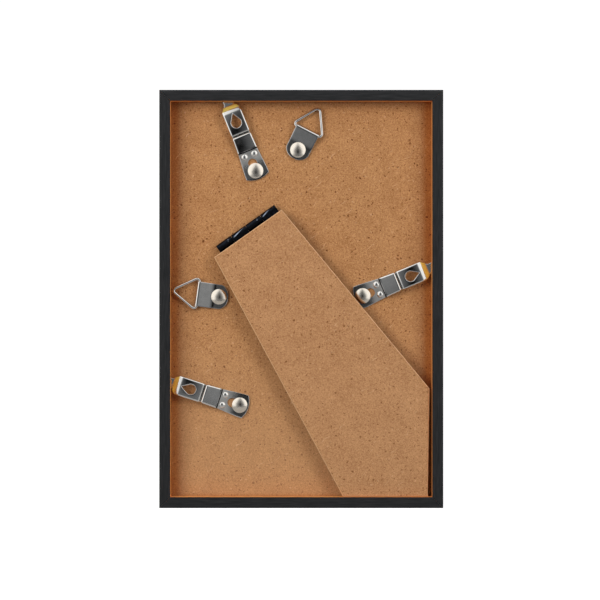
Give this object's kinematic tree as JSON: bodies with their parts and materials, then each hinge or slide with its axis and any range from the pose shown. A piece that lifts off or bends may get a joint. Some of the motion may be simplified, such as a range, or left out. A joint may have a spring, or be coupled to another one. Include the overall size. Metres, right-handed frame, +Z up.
{
  "type": "photo frame",
  "caption": "Black mitred photo frame with a fibreboard back, an easel strut on a steel hinge, sprung turn clips and ring hangers for portrait or landscape.",
  "frame": {"origin": "middle of the bottom rail's underside, halfway through the frame's depth", "axes": "+Z up the portrait picture, +Y out of the glazed front, -Y out of the back, +X to the right as seen from the back"},
  "size_m": [0.11, 0.015, 0.162],
  "materials": {
    "rail_foil": "black wood-grain foil on fibreboard, satin",
    "panel_board": "raw brown fibreboard, matt, flecked",
    "strut_board": "raw brown fibreboard, matt, flecked",
    "nickel_steel": "bright nickel plate",
    "black_steel": "gloss black lacquer",
    "plain_steel": "plain drawn steel",
    "clear_pane": "clear, polished",
    "blank_card": "matt, blank"
  },
  "bodies": {
    "frame": {"frame_rail_top": "rail_foil", "frame_rail_left": "rail_foil", "frame_rail_bottom": "rail_foil", "frame_rail_right": "rail_foil", "corner_nail_top_right": "plain_steel", "corner_nail_top_left": "plain_steel", "corner_nail_bottom_left": "plain_steel", "corner_nail_bottom_right": "plain_steel", "glazing_pane": "clear_pane", "insert_card": "blank_card", "back_panel": "panel_board", "hinge_panel_leaf": "black_steel", "hinge_pin": "plain_steel", "hinge_rivet_lower": "plain_steel", "hinge_rivet_upper": "plain_steel", "hanger_rivet_top": "nickel_steel", "hanger_rivet_left": "nickel_steel"},
    "strut": {"easel_strut": "strut_board", "hinge_strut_leaf": "black_steel"},
    "top_clip_turn": {"clip_rivet_top": "nickel_steel"},
    "top_clip": {"spring_clip_top": "nickel_steel"},
    "right_clip_turn": {"clip_rivet_right": "nickel_steel"},
    "right_clip": {"spring_clip_right": "nickel_steel"},
    "left_clip_turn": {"clip_rivet_left": "nickel_steel"},
    "left_clip": {"spring_clip_left": "nickel_steel"},
    "top_hanger": {"hanger_strap_top": "nickel_steel"},
    "top_ring": {"hanger_ring_top": "nickel_steel"},
    "left_hanger": {"hanger_strap_left": "nickel_steel"},
    "left_ring": {"hanger_ring_left": "nickel_steel"}
  },
  "joints": [
    {"name": "strut_hinge", "type": "hinge", "parent": "frame", "child": "strut", "pos_m": [-0.02104, -0.00175, 0.10843], "axis": [-0.8161, 0, -0.5779], "range_deg": [0, 30]},
    {"name": "top_clip_swivel", "type": "hinge", "parent": "frame", "child": "top_clip_turn", "pos_m": [-0.0178, -0.00055, 0.131], "axis": [0, -1, 0], "range_deg": [0, 65]},
    {"name": "top_clip_slide", "type": "slide", "parent": "top_clip_turn", "child": "top_clip", "axis": [0.3746, 0, -0.9272], "range_m": [0, 0.0028]},
    {"name": "right_clip_swivel", "type": "hinge", "parent": "frame", "child": "right_clip_turn", "pos_m": [0.024, -0.00055, 0.0822], "axis": [0, -1, 0], "range_deg": [0, 65]},
    {"name": "right_clip_slide", "type": "slide", "parent": "right_clip_turn", "child": "right_clip", "axis": [-0.9239, 0, -0.3827], "range_m": [0, 0.0028]},
    {"name": "left_clip_swivel", "type": "hinge", "parent": "frame", "child": "left_clip_turn", "pos_m": [-0.024, -0.00055, 0.0396], "axis": [0, 1, 0], "range_deg": [0, 65]},
    {"name": "left_clip_slide", "type": "slide", "parent": "left_clip_turn", "child": "left_clip", "axis": [0.9505, 0, -0.3106], "range_m": [0, 0.0028]},
    {"name": "top_hanger_swivel", "type": "hinge", "parent": "frame", "child": "top_hanger", "pos_m": [-0.0013, -0.0007, 0.1391], "axis": [0, 1, 0], "range_deg": [-45, 90]},
    {"name": "top_ring_swing", "type": "hinge", "parent": "top_hanger", "child": "top_ring", "pos_m": [0.00235, -0.0014, 0.14627], "axis": [0.891, 0, -0.454], "range_deg": [0, 150]},
    {"name": "left_hanger_swivel", "type": "hinge", "parent": "frame", "child": "left_hanger", "pos_m": [-0.0321, -0.0007, 0.08185], "axis": [0, 1, 0], "range_deg": [-40, 60]},
    {"name": "left_ring_swing", "type": "hinge", "parent": "left_hanger", "child": "left_ring", "pos_m": [-0.04007, -0.0014, 0.08297], "axis": [0.1392, 0, 0.9903], "range_deg": [0, 150]}
  ]
}
